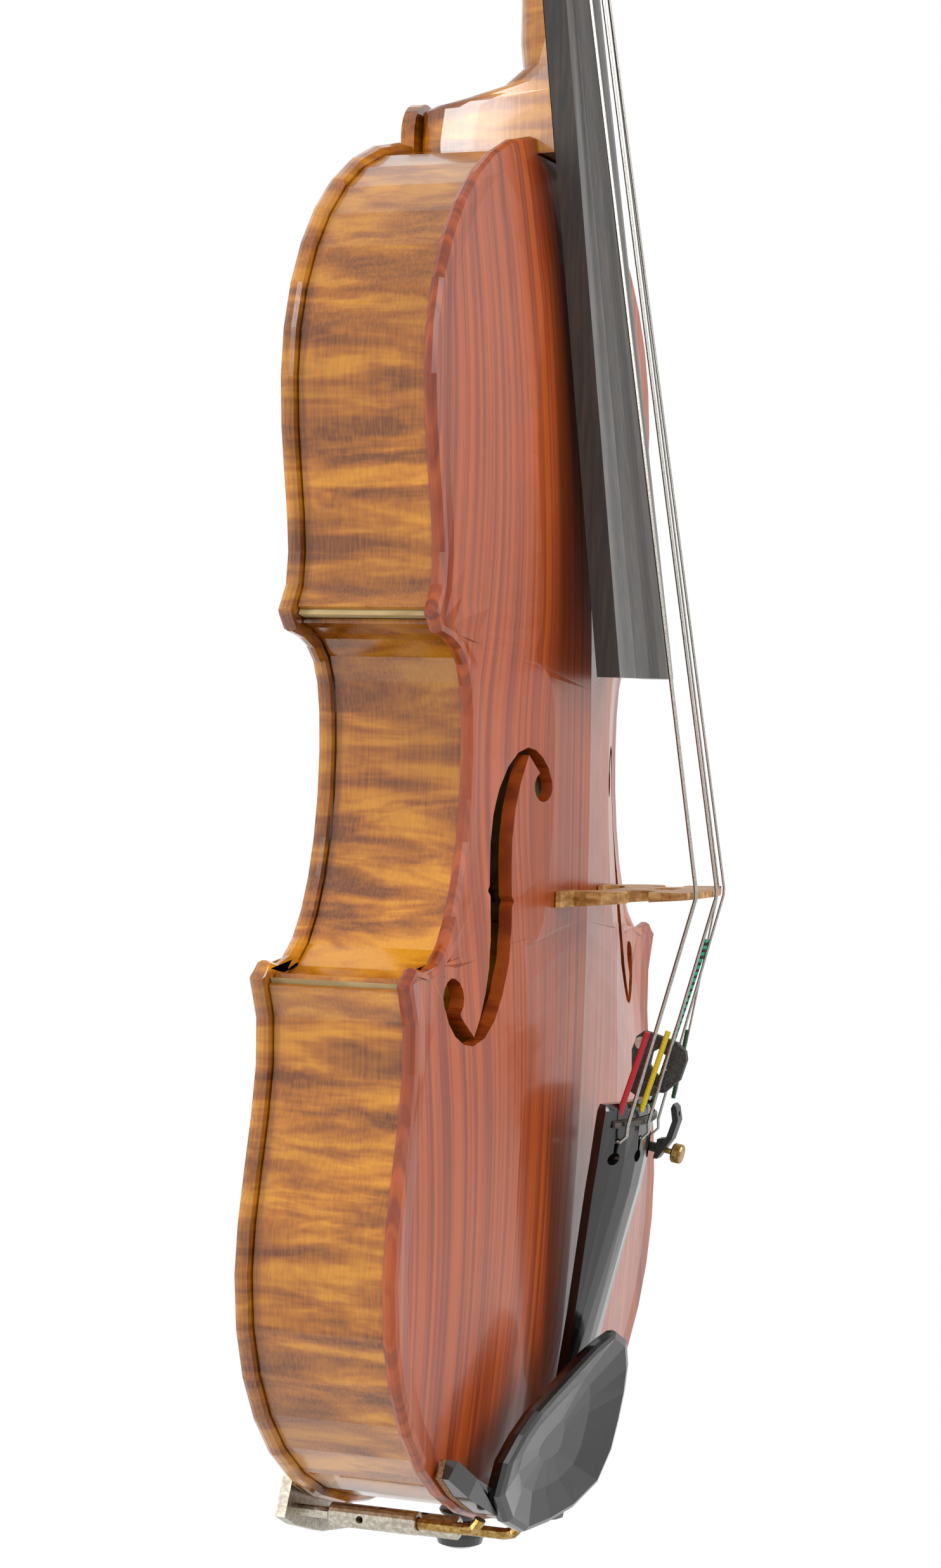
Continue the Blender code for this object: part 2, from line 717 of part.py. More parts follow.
def add_tailpiece(finish, fret_finish):
    rings = []
    shares = [math.sin(math.pi / 2 * t / 5) for t in range(-5, 6)]
    for z in (0.0130, 0.0160, 0.0400, 0.0600, 0.0980, 0.1070, 0.1180, 0.1222, 0.1240):
        half, edge, crown = tail_profile(z)
        shrink = 0.93 if z in (0.0130, 0.1240) else 1.0
        ring = [at(half * s * shrink, tail_height(half * s, z)[0] - (1 - shrink) * 0.012, z)
                for s in shares]
        ring += [at((half - 0.0016) * s * shrink,
                    tail_height((half - 0.0002) * s, z)[0] - TAIL_THICKNESS, z)
                 for s in shares[::-1]]
        rings.append(ring)
    tail = add_object("tailpiece", loft_mesh(rings), finish, 38)
    for x in (-0.0150, -0.0050, 0.0050, 0.0150):
        radius = KEYHOLE_RADIUS + 0.0008 * (x > 0.0100)
        hole = [(x + radius * math.cos(a), KEYHOLE_AT + radius * math.sin(a))
                for a in (math.radians(112 + 316 * k / 12) for k in range(13))]
        wide = 0.0011
        hole += [(x + wide, TAIL_SLOT_END), (x - wide, TAIL_SLOT_END)]
        boolean(tail, prism_mesh(hole, level(0.0560), level(0.0860)), "DIFFERENCE")
    for side in (-1, 1):
        bore = turned_mesh(at(side * GUT_X, GUT_H, 0.0100), Vector((0, 0, 1)),
                           [(GUT_RADIUS + SEAT_GAP, 0.0), (GUT_RADIUS + SEAT_GAP, 0.0100)], 10)
        boolean(tail, bore, "DIFFERENCE")
    rings = []
    for t in range(-8, 9):
        x = 0.0185 * t / 8
        low = tail_height(x, TAIL_FRET_AT)[0] + SEAT_GAP
        top = low - SEAT_GAP + FRET_RISE
        rings.append([at(x, low, TAIL_FRET_AT - 0.0012), at(x, top, TAIL_FRET_AT - 0.0006),
                      at(x, top, TAIL_FRET_AT + 0.0006), at(x, low, TAIL_FRET_AT + 0.0012)])
    add_object("tailpiece_fret", loft_mesh(rings), fret_finish)
    return tail


def bridge_top_height(x):
    """Crown of the bridge, higher on the bass side."""
    return (BRIDGE_CROWN - (BRIDGE_CROWN_RADIUS
            - math.sqrt(BRIDGE_CROWN_RADIUS ** 2 - (x + 0.0030) ** 2)) - 0.018 * x)


def add_bridge(tree, finish):
    """Bridge with its crown, kidneys, heart and arched feet."""
    foot = BRIDGE_FOOT_HEIGHT
    rows = [(0.0212, 0.0372), (0.0214, 0.0345), (0.0200, 0.0310), (0.0206, 0.0276),
            (0.0172, 0.0268), (0.0136, 0.0276), (0.0110, 0.0252), (0.0104, 0.0222),
            (0.0114, 0.0194), (0.0142, 0.0182), (0.0164, 0.0198), (0.0188, 0.0206),
            (0.0216, 0.0184), (0.0230, 0.0140), (0.0222, 0.0092), (0.0196, 0.0050),
            (0.0232, 0.0034), (BRIDGE_FOOT_WIDTH / 2, 0.0020),
            (BRIDGE_FOOT_WIDTH / 2, -0.0040), (0.0118, -0.0040), (0.0120, 0.0030),
            (0.0144, 0.0046), (0.0142, 0.0074), (0.0118, 0.0098), (0.0070, 0.0118),
            (0.0030, 0.0122)]
    half = [(x, foot + h) for x, h in rows]
    crown = [(x, bridge_top_height(x)) for x in np.linspace(-0.0205, 0.0205, 15)]
    outline = crown + half + [(-x, h) for x, h in half[::-1]]
    span = BRIDGE_CROWN - foot

    def face(back):
        ring = []
        for x, h in outline:
            share = (h - foot) / span
            lean = BRIDGE_LEAN * share
            thick = BRIDGE_FOOT_THICKNESS + (BRIDGE_EDGE - BRIDGE_FOOT_THICKNESS) * share
            ring.append(at(x, h, BRIDGE_AT + lean + (-0.5 if back else 0.5) * thick))
        return ring

    bridge = add_object("bridge", loft_mesh([face(True), face(False)]), finish)
    heart = []
    for k in range(16):
        a = 2 * math.pi * k / 16
        heart.append((0.0046 * math.sin(a) ** 3 * 1.15,
                      foot + 0.0262 + 0.00034 * (13 * math.cos(a) - 5 * math.cos(2 * a)
                                                 - 2 * math.cos(3 * a) - math.cos(4 * a))))
    cutter = loft_mesh([[at(x, h, BRIDGE_AT - 0.0200) for x, h in heart],
                        [at(x, h, BRIDGE_AT + 0.0200) for x, h in heart]])
    boolean(bridge, cutter, "DIFFERENCE")
    for side in (-1, 1):
        rings = []
        for t in range(7):
            x = side * (0.0112 + (BRIDGE_FOOT_WIDTH / 2 + 0.0008 - 0.0112) * t / 6)
            line = []
            for z in (-0.0040, -0.0014, 0.0014, 0.0040):
                hit = tree.ray_cast(at(x, 0.0900, BRIDGE_AT + z), Vector((0, 1, 0)))[0]
                line.append(Vector((hit.x, hit.y - SEAT_GAP, hit.z)))
            line += [at(x, 0.0400, BRIDGE_AT + 0.0040), at(x, 0.0400, BRIDGE_AT - 0.0040)]
            rings.append(line)
        boolean(bridge, loft_mesh(rings), "DIFFERENCE")
    return bridge


def add_ribs(maple):
    """Six ribs, mitred at the corners, and the twelve linings inside them."""
    top, middle, bottom = bouts()
    tips = corner_tips()
    ends = []
    for tip, lip in (tips[:2], tips[2:]):
        centre = ((tip[0] + lip[0]) / 2, (tip[1] + lip[1]) / 2)
        size = math.dist(tip, lip)
        ends.append((centre, ((tip[0] - lip[0]) / size, (tip[1] - lip[1]) / size)))
    joint = SEAT_GAP / 2

    def wall(line, marks, first, last):
        whole = sum(math.dist(a, b) for a, b in zip(line, line[1:]))
        line = run_along(line, OVERHANG * first, whole - OVERHANG * last - 1e-9)
        polygon = offset(line, OVERHANG) + offset(line, OVERHANG + RIB_THICKNESS)[::-1]
        for (centre, along), way in marks:
            edge = (centre[0] + along[0] * joint * way, centre[1] + along[1] * joint * way)
            polygon = clip(polygon, edge, (along[0] * way, along[1] * way))
        return polygon

    walls = {"upper": clip(wall(top, [(ends[0], 1)], 0, 1), (0.0040, 0), (1, 0)),
             "middle": wall(middle, [(ends[0], -1), (ends[1], -1)], 1, 1),
             "lower": clip(wall(bottom, [(ends[1], 1)], 1, 0), (joint, 0), (1, 0))}
    made = {}
    for name, outline in walls.items():
        for side, word in ((-1, "bass"), (1, "treble")):
            bm = prism_mesh(mirror(outline, side), level(SEAT_GAP),
                            lambda x, z: rib_height(z) - SEAT_GAP)
            made[name, word] = add_object(f"rib_{name}_{word}", bm, maple)
    return made


def inner_lines():
    """The rib frame's inner face, one line a bout, and where they cross."""
    depth = OVERHANG + RIB_THICKNESS + SEAT_GAP
    top, middle, bottom = [offset(line, depth) for line in bouts()]
    lines = [top + [beyond(top[-2], top[-1])],
             [beyond(middle[1], middle[0])] + middle + [beyond(middle[-2], middle[-1])],
             [beyond(bottom[1], bottom[0])] + bottom]
    return lines, crossing(lines[0], lines[1]), crossing(lines[1], lines[2])


def add_blocks(spruce):
    """Four corner blocks and the two end blocks."""
    (top, middle, bottom), upper, lower = inner_lines()
    arms = {"upper": ((top[:upper[0] + 1] + [upper[2]])[::-1],
                      [upper[2]] + middle[upper[1] + 1:]),
            "lower": ((middle[:lower[0] + 1] + [lower[2]])[::-1],
                      [lower[2]] + bottom[lower[1] + 1:])}
    for name, (first, second) in arms.items():
        outline = run_along(first, 0.0, BLOCK_ARM)[1:][::-1] + [first[0]]
        outline += run_along(second, 0.0, BLOCK_ARM)[1:]
        for side, word in ((-1, "bass"), (1, "treble")):
            bm = prism_mesh(mirror(outline, side), level(SEAT_GAP),
                            lambda x, z: rib_height(z) - SEAT_GAP)
            add_object(f"corner_block_{name}_{word}", bm, spruce)
    blocks = []
    for name, line, way in (("block_upper", top, -1), ("block_lower", bottom[::-1], 1)):
        reach = run_along(line, 0.0, distance_to_width(line, END_BLOCK_WIDTH / 2))
        half = [p for p in reach if p[0] > 1e-6]
        start = half[0][1] if half else reach[0][1]
        edge = reach[0][1]
        flat = edge + way * END_BLOCK_DEPTH
        outline = [(-x, z) for x, z in half[::-1]] + [(0.0, edge)] + half
        outline += [(END_BLOCK_WIDTH / 2, flat), (-END_BLOCK_WIDTH / 2, flat)]
        low = SEAT_GAP
        bm = prism_mesh(outline, level(low), lambda x, z: rib_height(z) - SEAT_GAP)
        blocks.append(add_object(name, bm, spruce))
    return blocks


def add_linings(spruce):
    """Strips along the ribs' inner edges, between the blocks."""
    (top, middle, bottom), upper, lower = inner_lines()
    start = distance_to_width(top, END_BLOCK_WIDTH / 2) + 0.0008
    stop = sum(math.dist(a, b) for a, b in zip(top[:upper[0]], top[1:upper[0] + 1]))
    runs = {"upper": run_along(top, start, stop - BLOCK_ARM)}
    line = [upper[2]] + middle[upper[1] + 1:lower[0] + 1] + [lower[2]]
    whole = sum(math.dist(a, b) for a, b in zip(line, line[1:]))
    runs["middle"] = run_along(line, BLOCK_ARM + 0.0008, whole - BLOCK_ARM - 0.0008)
    line = ([lower[2]] + bottom[lower[1] + 1:])
    whole = sum(math.dist(a, b) for a, b in zip(line, line[1:]))
    tail = distance_to_width(bottom[::-1], END_BLOCK_WIDTH / 2) + 0.0008
    runs["lower"] = run_along(line, BLOCK_ARM + 0.0008, whole - tail)
    for name, run in runs.items():
        thin = offset(run, LINING_THICKNESS * 0.3)
        thick = offset(run, LINING_THICKNESS)
        for plate in ("back", "top"):
            for side, word in ((-1, "bass"), (1, "treble")):
                rings = []
                for outer, near, far in zip(run, thin, thick):
                    seat = rib_height(outer[1]) - SEAT_GAP if plate == "top" else SEAT_GAP
                    way = -1 if plate == "top" else 1
                    rings.append([at(side * outer[0], seat, outer[1]),
                                  at(side * far[0], seat, far[1]),
                                  at(side * near[0], seat + way * LINING_HEIGHT, near[1]),
                                  at(side * outer[0], seat + way * LINING_HEIGHT, outer[1])])
                add_object(f"lining_{plate}_{name}_{word}", loft_mesh(rings), spruce)


def tree_of(obj):
    bpy.context.view_layer.update()
    graph = bpy.context.evaluated_depsgraph_get()
    return BVHTree.FromObject(obj.evaluated_get(graph), graph)


def add_inside(top_tree, back_tree, spruce):
    """Bass bar under the bass foot, sound post behind the treble foot."""
    rings = []
    for k in range(15):
        t = k / 14
        z = 0.0560 + 0.2940 * t
        x = -0.0205 + 0.0050 * t
        height = 0.0040 + 0.0080 * math.sin(math.pi * t) ** 0.8
        tops = []
        for across in (-0.0027, 0.0027):
            hit = top_tree.ray_cast(at(x + across, 0.0100, z), Vector((0, -1, 0)))[0]
            tops.append(Vector((hit.x, hit.y + 3 * SEAT_GAP, hit.z)))
        low = HANG_H - max(tops[0].y, tops[1].y) - height
        rings.append([tops[0], tops[1], at(x + 0.0024, low, z), at(x - 0.0024, low, z)])
    add_object("bass_bar", loft_mesh(rings), spruce)
    x, z, radius = 0.0190, BRIDGE_AT - 0.0075, 0.0032
    ends = []
    for tree, way in ((back_tree, 1), (top_tree, -1)):
        ring = []
        for k in range(16):
            a = 2 * math.pi * k / 16
            start = at(x + radius * math.cos(a), 0.0200, z + radius * math.sin(a))
            hit = tree.ray_cast(start, Vector((0, way, 0)))[0]
            ring.append(Vector((hit.x, hit.y - way * 1.5 * SEAT_GAP, hit.z)))
        ends.append(ring)
    add_object("sound_post", loft_mesh(ends), spruce)


def sound_hole(side):
    """Outline (x, z) of one sound hole: eyes, wings, stem and nicks."""
    def arc(cx, cz, r, start, stop, steps):
        return [(cx + r * math.cos(math.radians(start + (stop - start) * k / steps)),
                 cz + r * math.sin(math.radians(start + (stop - start) * k / steps)))
                for k in range(steps + 1)]

    line = [(-0.0373, 0.2250), (-0.0322, 0.2200)]
    line += arc(-UPPER_EYE_X, UPPER_EYE_Z, UPPER_EYE_RADIUS, 115, 375, 10)
    line += bezier(line[-1], (-0.0275, 0.2228), (-0.0330, 0.2272), (-0.0378, 0.2272), 4)[1:]
    line += bezier((-0.0378, 0.2272), (-0.0460, 0.2272), (-0.0535, 0.2140), (-0.0555, 0.2000), 5)
    line += [(-0.0555, 0.2000), (-0.0572, 0.1885), (-0.0583, 0.1870), (-0.0573, 0.1855)]
    line += bezier((-0.0577, 0.1830), (-0.0590, 0.1660), (-0.0630, 0.1550), (-0.0697, 0.1470), 5)
    line += [(-0.0697, 0.1470), (-0.0755, 0.1528)]
    line += arc(-LOWER_EYE_X, LOWER_EYE_Z, LOWER_EYE_RADIUS, -57, 200, 10)[::-1][::-1]
    line += bezier(line[-1], (-0.0825, 0.1495), (-0.0770, 0.1445), (-0.0705, 0.1445), 4)[1:]
    line += bezier((-0.0705, 0.1445), (-0.0600, 0.1445), (-0.0505, 0.1600), (-0.0482, 0.1760), 5)
    line += [(-0.0482, 0.1760), (-0.0475, 0.1820), (-0.0464, 0.1835), (-0.0473, 0.1850)]
    line += bezier((-0.0472, 0.1880), (-0.0464, 0.1980), (-0.0450, 0.2120), (-0.0373, 0.2250), 5)[1:]
    return [(-side * x, z) for x, z in line]


def edge_height(x):
    """Lower end of the outline at a distance from the middle."""
    line = bouts()[2][::-1]
    return float(np.interp(abs(x), [p[0] for p in line[:12]], [p[1] for p in line[:12]]))


def strip(x_from, x_to, outer, inner, count=9):
    """Strip along the lower bass edge, between two offsets from it."""
    line = bouts()[2][::-1]
    start = distance_to_width(line, -x_to)
    stop = distance_to_width(line, -x_from)
    dense = run_along(line, start, stop)
    near = offset(dense, -outer)
    far = offset(dense, -inner)
    return [(-x, z) for x, z in near + far[::-1]]


def seat_rise(arch, x, z):
    """Height at which a pad lies on a plate near its edge."""
    heights, widths = smooth_half_widths()
    rise = plate_rise(heights, widths, arch, x, z)
    return max(rise, PLATE_EDGE) + 3 * SEAT_GAP


def add_chinrest(ebony, cork_finish, nickel, brass):
    """Cup over the tail on the bass side, cork, and the two-legged clamp."""
    plan = [(-0.0640, 0.0180), (-0.0628, 0.0275), (-0.0570, 0.0345), (-0.0500, 0.0400),
            (-0.0410, 0.0446), (-0.0320, 0.0490), (-0.0215, 0.0540), (-0.0120, 0.0570),
            (-0.0040, 0.0530), (0.0000, 0.0450), (0.0012, 0.0370), (0.0010, 0.0280),
            (0.0000, 0.0190), (-0.0050, 0.0100), (-0.0180, 0.0050), (-0.0320, 0.0036),
            (-0.0450, 0.0037), (-0.0560, 0.0090)]
    centre = (-0.0290, 0.0260)

    def rim(x, z):
        return 0.0641 + 0.19 * x + 0.18 * z

    rows = [(0.20, -0.0052), (0.55, -0.0040), (0.84, -0.0010), (0.93, 0.0),
            (0.985, -0.0005), (1.0, -0.0018), (0.99, -0.0036), (0.92, -0.0058),
            (0.55, -0.0092), (0.20, -0.0098)]
    rings = []
    for share, drop in rows:
        ring = []
        for x, z in plan:
            px = centre[0] + (x - centre[0]) * share
            pz = centre[1] + (z - centre[1]) * share
            ring.append(at(px, rim(px, pz) + drop, pz))
        rings.append(ring)
    rest = add_object("chinrest", loft_mesh(rings), ebony, 50)
    footprint = strip(-0.0860, -0.0180, 0.0008, REST_STRIP_IN)
    seat = RIB_HEIGHT + PLATE_EDGE + 2 * SEAT_GAP + CORK + 0.0010

    def base_top(x, z):
        return min(rim(x, z) - 0.0030, 0.0475 + max(0.0, x + 0.0860) * 0.45)

    boolean(rest, prism_mesh(footprint, level(seat + SEAT_GAP), base_top), "UNION")
    add_object("chinrest_cork", prism_mesh(
        footprint, lambda x, z: RIB_HEIGHT + seat_rise(TOP_ARCH, x, z), level(seat)),
        cork_finish)
    rods = []
    for k, x in enumerate(CLAMP_AT):
        z = edge_height(x) - CLAMP_OFF_EDGE
        barrel = add_object(f"clamp_barrel_{k + 1}", turned_mesh(
            Vector((0, 0, 0)), Vector((0, -1, 0)),
            [(BARREL_RADIUS - 0.0004, 0.0), (BARREL_RADIUS, 0.0004),
             (BARREL_RADIUS, BARREL_HIGH - BARREL_LOW - 0.0004),
             (BARREL_RADIUS - 0.0004, BARREL_HIGH - BARREL_LOW)], 20), nickel)
        barrel.location = at(x, BARREL_LOW, z)
        bore = turned_mesh(Vector((0, 0.001, 0)), Vector((0, -1, 0)),
                           [(CLAMP_ROD + 0.0003, 0.0), (CLAMP_ROD + 0.0003, 0.0300)], 12)
        boolean(barrel, bore, "DIFFERENCE")
        for way, run in ((Vector((1, 0, 0)), 0.0100), (Vector((0, 0, 1)), 0.0160)):
            hole = turned_mesh(Vector((0, -run, 0)) - way * 0.0060, way,
                               [(0.0011, 0.0), (0.0011, 0.0120)], 10)
            boolean(barrel, hole, "DIFFERENCE")
        hook = [at(x, 0.0210, z), at(x, 0.0440, z), at(x, 0.0466, z + 0.0006),
                at(x, 0.0482, z + 0.0024), at(x, 0.0486, edge_height(x) - 0.0012)]
        add_object(f"clamp_hook_{k + 1}", rod_mesh(hook, CLAMP_ROD, 10), brass)
        rods.append((x, z))
    plate = strip(-0.0680, -0.0220, -0.0085, REST_STRIP_IN)
    under = -PLATE_EDGE - SEAT_GAP - 0.0008
    foot = add_object("clamp_foot", prism_mesh(plate, level(under - CORK - SEAT_GAP - 0.0030),
                                               level(under - CORK - SEAT_GAP)), nickel)
    for x, z in rods:
        boolean(foot, rod_mesh([at(x, under - CORK - 0.0020, z), at(x, 0.0120, z)],
                               CLAMP_ROD, 10), "UNION")
    pad = strip(-0.0680, -0.0220, 0.0008, REST_STRIP_IN)
    add_object("clamp_cork", prism_mesh(pad, level(under - CORK),
                                        lambda x, z: -seat_rise(BACK_ARCH, x, z)), cork_finish)


def add_tail_fittings(top_plate, ebony, gut, blocks, ribs):
    half = SADDLE_WIDTH / 2
    notch = [(-half - SEAT_GAP, -0.0020), (half + SEAT_GAP, -0.0020),
             (half + SEAT_GAP, SADDLE_DEPTH + SEAT_GAP), (-half - SEAT_GAP, SADDLE_DEPTH + SEAT_GAP)]
    boolean(top_plate, prism_mesh(notch, level(RIB_HEIGHT - 0.0020), level(0.0600)),
            "DIFFERENCE", "MANIFOLD")
    rings = []
    for x, drop in ((-half, 0.0022), (-half * 0.7, 0.0), (0.0, 0.0), (half * 0.7, 0.0),
                    (half, 0.0022)):
        profile = [(RIB_HEIGHT + SEAT_GAP, 0.0002), (0.0452 - drop, -0.0002),
                   (0.0470 - drop, 0.0012), (0.0472 - drop, 0.0036),
                   (0.0450 - drop, SADDLE_DEPTH), (RIB_HEIGHT + SEAT_GAP, SADDLE_DEPTH)]
        rings.append([at(x, h, z) for h, z in profile])
    add_object("saddle", loft_mesh(rings), ebony, 40)
    side = GUT_X
    ring = ENDPIN_SHAFT + 0.0003 + SEAT_GAP + GUT_RADIUS
    strand = [at(side, GUT_H, 0.0180), at(side, GUT_H + 0.0002, 0.0110),
              at(side, 0.0487, 0.0040), at(side, 0.0485, 0.0010),
              at(side, 0.0470, -0.0014), at(side, 0.0440, -0.0026),
              at(side, 0.0320, -0.0036), at(ring, ENDPIN_HEIGHT + 0.0030, -0.0042)]
    loop = [at(ring * math.cos(a), ENDPIN_HEIGHT - ring * math.sin(a), -0.0042)
            for a in (math.pi * k / 10 for k in range(11))]
    back = [Vector((-p.x, p.y, p.z)) for p in strand[::-1]]
    add_cord("tailgut", strand + loop + back, GUT_RADIUS, gut)
    pin = add_object("endpin", turned_mesh(
        at(0, ENDPIN_HEIGHT, -0.0150), Vector((0, 0, 1)),
        [(0.0045, 0.0), (0.0068, 0.0010), (0.0075, 0.0035), (0.0070, 0.0062),
         (ENDPIN_SHAFT + 0.0003, 0.0080), (ENDPIN_SHAFT + 0.0003, 0.0132),
         (0.0064, 0.0140), (0.0064, 0.0150 + OVERHANG - SEAT_GAP),
         (ENDPIN_SHAFT, 0.0150 + OVERHANG - SEAT_GAP), (ENDPIN_SHAFT - 0.0005, 0.0330)], 24),
        ebony, 35)
    for obj in (blocks[1], ribs["lower", "bass"], ribs["lower", "treble"]):
        bore = turned_mesh(at(0, ENDPIN_HEIGHT, 0.0), Vector((0, 0, 1)),
                           [(ENDPIN_SHAFT + SEAT_GAP, 0.0), (ENDPIN_SHAFT + SEAT_GAP, 0.0230)], 24)
        boolean(obj, bore, "DIFFERENCE")
    return pin


def add_mute(rubber, nickel):
    """Rubber mute parked on the strings behind the bridge."""
    def slab(x_from, x_to, outline):
        return loft_mesh([[at(x_from, h + 0.0010, z + MUTE_UP) for h, z in outline],
                          [at(x_to, h + 0.0010, z + MUTE_UP) for h, z in outline]])

    plate = [(0.0700, 0.1225), (0.0698, 0.1345), (0.0712, 0.1385), (0.0735, 0.1402),
             (0.0760, 0.1396), (0.0800, 0.1384), (0.0835, 0.1372), (0.0862, 0.1348),
             (0.0866, 0.1322), (0.0846, 0.1262), (0.0800, 0.1222)]
    mute = add_object("mute", slab(-0.0011, 0.0011, plate), rubber, 40)
    arch = [(0.0752, 0.1302), (0.0760, 0.1340), (0.0780, 0.1352), (0.0806, 0.1330),
            (0.0806, 0.1290), (0.0780, 0.1268)]
    boolean(mute, slab(-0.0060, 0.0060, arch), "DIFFERENCE")
    body = [(0.0706, 0.1226), (0.0702, 0.1262), (0.0742, 0.1258), (0.0796, 0.1236),
            (0.0776, 0.1216), (0.0730, 0.1210)]
    boolean(mute, slab(-0.0046, 0.0009, body), "UNION")
    hole = turned_mesh(at(-0.0030, 0.0737, 0.1366 + MUTE_UP), Vector((1, 0, 0)),
                       [(0.0014, 0.0), (0.0014, 0.0060)], 14)
    boolean(mute, hole, "DIFFERENCE")
    rivet = add_object("mute_rivet", turned_mesh(
        at(-0.0017, 0.0737, 0.1366 + MUTE_UP), Vector((1, 0, 0)),
        [(0.0019, 0.0), (0.0019, 0.0003), (0.0011, 0.0005), (0.0011, 0.0029),
         (0.0019, 0.0031), (0.0019, 0.0034)], 14), nickel)
    return mute, rivet


def add_tuner(black, brass, nickel):
    """String adjuster on the treble corner: bracket, lock nut and screw."""
    tilt = math.radians(11)
    lean = 0.0
    normal = Vector((math.sin(lean), -math.cos(tilt) * math.cos(lean),
                     -math.sin(tilt) * math.cos(lean)))
    along = Vector((0, -math.sin(tilt), math.cos(tilt)))
    across = along.cross(normal).normalized()
    normal = across.cross(along).normalized()
    if normal.y > 0:
        normal = -normal
    h, _ = tail_height(0.0150, KEYHOLE_AT)
    base = at(0.0150, h + 0.0024, KEYHOLE_AT)

    def spot(u, n, x):
        return base + along * u + normal * n + across * x

    rows = [(-0.0030, 0.0014), (-0.0028, 0.0026), (0.0040, 0.0058), (0.0100, 0.0066),
            (0.0138, 0.0052), (0.0146, 0.0040), (0.0130, 0.0036), (0.0095, 0.0048),
            (0.0040, 0.0040), (0.0030, 0.0014)]
    bracket = add_object("tuner_bracket", loft_mesh(
        [[spot(u, n, -0.0022) for u, n in rows], [spot(u, n, 0.0022) for u, n in rows]]),
        black, 40)
    bush = turned_mesh(spot(0, -0.0106, 0), normal, [(0.0015, 0.0), (0.0015, 0.0124)], 14)
    boolean(bracket, bush, "UNION")
    bore = turned_mesh(spot(0, -0.0116, 0), normal, [(0.00095, 0.0), (0.00095, 0.0206)], 14)
    boolean(bracket, bore, "DIFFERENCE")
    fork = turned_mesh(spot(0.0118, 0.0030, 0), normal, [(0.00075, 0.0), (0.00075, 0.0060)], 10)
    boolean(bracket, fork, "DIFFERENCE")
    nut = add_object("tuner_nut", turned_mesh(
        spot(0, -0.0102, 0), normal, [(0.0024, 0.0), (0.0024, 0.0010)], 16), nickel)
    ring = turned_mesh(spot(0, -0.0120, 0), normal, [(0.0017, 0.0), (0.0017, 0.0080)], 14)
    boolean(nut, ring, "DIFFERENCE")
    screw = add_object("tuner_screw", turned_mesh(
        Vector((0, 0, 0)), normal,
        [(0.00085, -0.0088), (0.00085, 0.0062), (0.0026, 0.0064), (0.00295, 0.0068),
         (0.00295, 0.0090), (0.0026, 0.0094)], 20), brass, 30)
    screw.location = base
    print("screw axis", [round(c, 5) for c in normal], [round(c, 5) for c in base])


def clear_scene():
    for obj in list(bpy.data.objects):
        bpy.data.objects.remove(obj, do_unlink=True)


